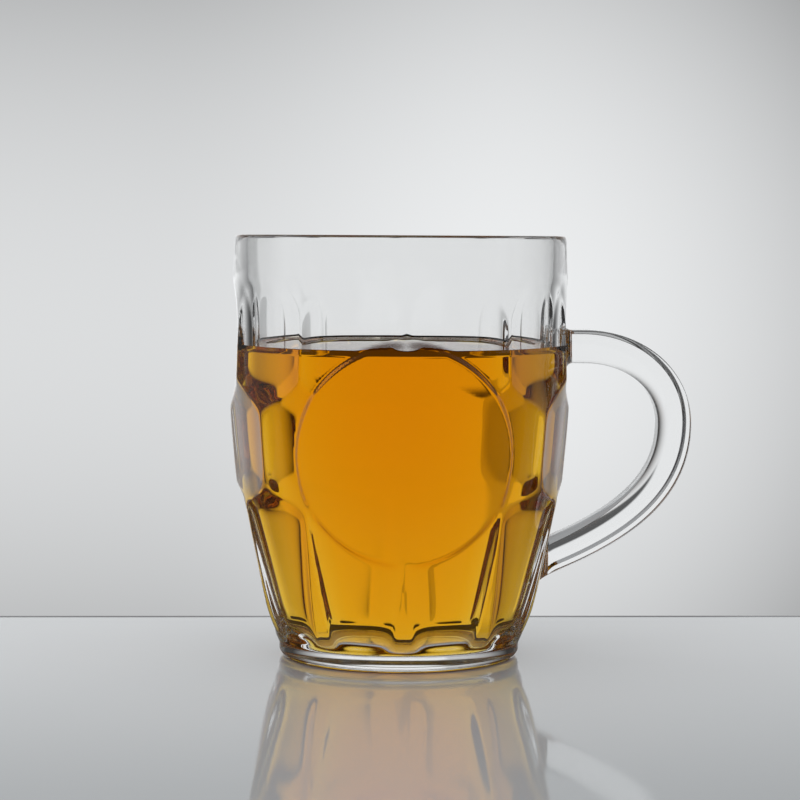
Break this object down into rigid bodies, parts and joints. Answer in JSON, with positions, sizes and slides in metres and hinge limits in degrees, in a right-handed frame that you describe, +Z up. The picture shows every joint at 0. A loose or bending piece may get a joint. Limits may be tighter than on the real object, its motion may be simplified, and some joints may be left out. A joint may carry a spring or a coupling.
{
  "type": "glass mug",
  "caption": "Pressed clear glass mug with staggered thumb facets over upright flutes, a bare round medallion on the front, a loop handle at the side and an amber drink in it.",
  "frame": {"origin": "middle of the flat foot, on the surface that the mug stands on", "axes": "+Z up along the bowl's axis, +X towards the handle, -Y towards the round medallion"},
  "size_m": [0.1131, 0.0836, 0.1032],
  "materials": {
    "clear_glass": "polished",
    "amber_drink": "polished"
  },
  "bodies": {
    "root": {"mug_body": "clear_glass", "handle": "clear_glass", "drink": "amber_drink"}
  },
  "joints": []
}
